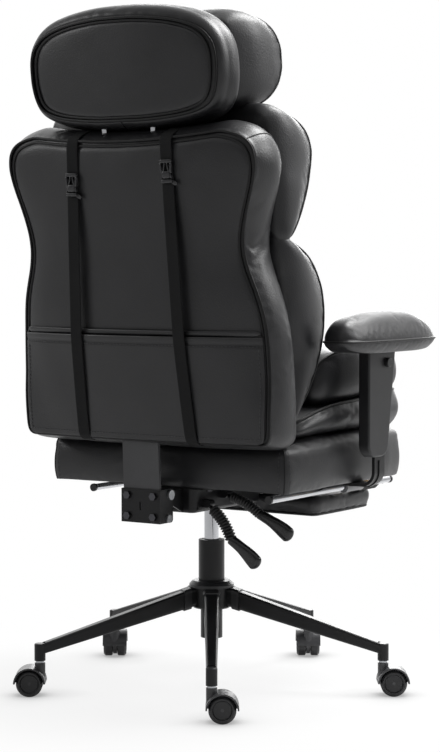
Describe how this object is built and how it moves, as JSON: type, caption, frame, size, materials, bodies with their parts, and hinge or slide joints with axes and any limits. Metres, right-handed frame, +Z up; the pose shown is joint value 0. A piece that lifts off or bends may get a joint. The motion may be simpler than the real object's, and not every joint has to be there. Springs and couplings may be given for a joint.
{
  "type": "office chair with footrest",
  "caption": "Black leatherette office chair with thick layered cushions, reclining strapped back, headrest, padded arms, sliding flip-out footrest and a star base on twin-wheel casters.",
  "frame": {"origin": "on the floor, on the axis of the gas column", "axes": "+Z up, the sitter faces -Y, +X to the sitter's left"},
  "size_m": [0.7481, 0.7083, 1.268],
  "materials": {
    "black_leatherette": "satin",
    "black_steel": "satin",
    "chrome": "polished",
    "zinc_steel": "satin",
    "black_plastic": "satin",
    "grey_plastic": "satin",
    "black_rubber": "matte",
    "black_webbing": "matte",
    "plywood": "matte"
  },
  "bodies": {
    "base": {"base_hub": "black_steel", "base_collars": "black_plastic", "base_legs": "black_steel", "leg_sockets": "black_steel", "caster_stems": "zinc_steel", "gas_outer_tube": "black_steel", "gas_guide_bush": "black_plastic", "gas_rod": "zinc_steel"},
    "lift": {"gas_cylinder": "chrome"},
    "seat": {"mechanism_tray": "black_steel", "recline_pin": "zinc_steel", "seat_bolts": "zinc_steel", "seat_board": "plywood", "seat_base_cushion": "black_leatherette", "seat_middle_cushion": "black_leatherette", "seat_top_cushion": "black_leatherette", "arm_brackets": "black_steel", "footrest_sleeves": "black_steel"},
    "back": {"recline_bracket": "black_steel", "lock_pin": "zinc_steel", "bracket_bolts": "zinc_steel", "j_bar": "black_steel", "back_board": "plywood", "back_shell": "black_leatherette", "back_pocket": "black_leatherette", "upper_back_cushion": "black_leatherette", "lumbar_cushion": "black_leatherette", "straps": "black_webbing", "strap_buckles": "black_plastic", "headrest_guides": "black_plastic"},
    "headrest": {"headrest_shell": "black_leatherette", "head_cushion": "black_leatherette", "headrest_posts": "zinc_steel"},
    "height_lever": {"height_lever_rod": "zinc_steel", "height_lever_cover": "black_rubber", "height_lever_handle": "black_plastic"},
    "recline_lever": {"recline_lever_rod": "zinc_steel", "recline_lever_cover": "black_rubber", "recline_lever_handle": "black_plastic"},
    "footrest_frame": {"footrest_rails": "chrome", "rail_caps": "black_plastic"},
    "footrest": {"footrest_pad": "black_leatherette", "footrest_hinges": "black_steel"},
    "caster_1": {"caster_hood_1": "grey_plastic"},
    "wheels_1": {"caster_wheels_1": "black_plastic"},
    "caster_2": {"caster_hood_2": "grey_plastic"},
    "wheels_2": {"caster_wheels_2": "black_plastic"},
    "caster_3": {"caster_hood_3": "grey_plastic"},
    "wheels_3": {"caster_wheels_3": "black_plastic"},
    "caster_4": {"caster_hood_4": "grey_plastic"},
    "wheels_4": {"caster_wheels_4": "black_plastic"},
    "caster_5": {"caster_hood_5": "grey_plastic"},
    "wheels_5": {"caster_wheels_5": "black_plastic"},
    "arm_left": {"arm_post_left": "black_plastic", "arm_pad_left": "black_leatherette"},
    "arm_button_left": {"arm_button_left": "black_plastic"},
    "arm_right": {"arm_post_right": "black_plastic", "arm_pad_right": "black_leatherette"},
    "arm_button_right": {"arm_button_right": "black_plastic"}
  },
  "joints": [
    {"name": "seat_lift", "type": "slide", "parent": "base", "child": "lift", "axis": [0, 0, 1], "range_m": [-0.05, 0.045]},
    {"name": "seat_swivel", "type": "hinge", "parent": "lift", "child": "seat", "pos_m": [0, 0, 0.36], "axis": [0, 0, 1], "continuous": true},
    {"name": "back_recline", "type": "hinge", "parent": "seat", "child": "back", "pos_m": [0, 0.203, 0.389], "axis": [-1, 0, 0], "range_deg": [0, 33]},
    {"name": "headrest_height", "type": "slide", "parent": "back", "child": "headrest", "axis": [0, 0.1107, 0.9939], "range_m": [0, 0.05]},
    {"name": "height_lever_lift", "type": "hinge", "parent": "seat", "child": "height_lever", "pos_m": [-0.07, 0.054, 0.379], "axis": [0, 1, 0], "range_deg": [0, 12], "stiffness_Nm_per_rad": 1},
    {"name": "recline_lever_lift", "type": "hinge", "parent": "seat", "child": "recline_lever", "pos_m": [-0.07, 0.112, 0.366], "axis": [0, 1, 0], "range_deg": [0, 12], "stiffness_Nm_per_rad": 1},
    {"name": "footrest_slide", "type": "slide", "parent": "seat", "child": "footrest_frame", "axis": [0, -1, 0], "range_m": [0, 0.24]},
    {"name": "footrest_flip", "type": "hinge", "parent": "footrest_frame", "child": "footrest", "pos_m": [0, -0.331, 0.38], "axis": [-1, 0, 0], "range_deg": [0, 180]},
    {"name": "caster_1_swivel", "type": "hinge", "parent": "base", "child": "caster_1", "pos_m": [-0.1884, 0.28303, 0.055], "axis": [0, 0, 1], "continuous": true},
    {"name": "caster_1_roll", "type": "hinge", "parent": "caster_1", "child": "wheels_1", "pos_m": [-0.20422, 0.2725, 0.025], "axis": [0.5541, -0.8324, 0], "continuous": true},
    {"name": "caster_2_swivel", "type": "hinge", "parent": "base", "child": "caster_2", "pos_m": [-0.32739, -0.09172, 0.055], "axis": [0, 0, 1], "continuous": true},
    {"name": "caster_2_roll", "type": "hinge", "parent": "caster_2", "child": "wheels_2", "pos_m": [-0.34321, -0.10225, 0.025], "axis": [0.5541, -0.8324, 0], "continuous": true},
    {"name": "caster_3_swivel", "type": "hinge", "parent": "base", "child": "caster_3", "pos_m": [-0.01394, -0.33971, 0.055], "axis": [0, 0, 1], "continuous": true},
    {"name": "caster_3_roll", "type": "hinge", "parent": "caster_3", "child": "wheels_3", "pos_m": [-0.00341, -0.35553, 0.025], "axis": [0.8324, 0.5541, 0], "continuous": true},
    {"name": "caster_4_swivel", "type": "hinge", "parent": "base", "child": "caster_4", "pos_m": [0.31878, -0.11824, 0.055], "axis": [0, 0, 1], "continuous": true},
    {"name": "caster_4_roll", "type": "hinge", "parent": "caster_4", "child": "wheels_4", "pos_m": [0.32931, -0.13405, 0.025], "axis": [0.8324, 0.5541, 0], "continuous": true},
    {"name": "caster_5_swivel", "type": "hinge", "parent": "base", "child": "caster_5", "pos_m": [0.21096, 0.26664, 0.055], "axis": [0, 0, 1], "continuous": true},
    {"name": "caster_5_roll", "type": "hinge", "parent": "caster_5", "child": "wheels_5", "pos_m": [0.22677, 0.27717, 0.025], "axis": [-0.5541, 0.8324, 0], "continuous": true},
    {"name": "arm_left_height", "type": "slide", "parent": "seat", "child": "arm_left", "axis": [0, 0, 1], "range_m": [0, 0.06]},
    {"name": "arm_button_left_press", "type": "slide", "parent": "arm_left", "child": "arm_button_left", "axis": [-1, 0, 0], "range_m": [0, 0.003], "stiffness_N_per_m": 400},
    {"name": "arm_right_height", "type": "slide", "parent": "seat", "child": "arm_right", "axis": [0, 0, 1], "range_m": [0, 0.06]},
    {"name": "arm_button_right_press", "type": "slide", "parent": "arm_right", "child": "arm_button_right", "axis": [1, 0, 0], "range_m": [0, 0.003], "stiffness_N_per_m": 400}
  ]
}
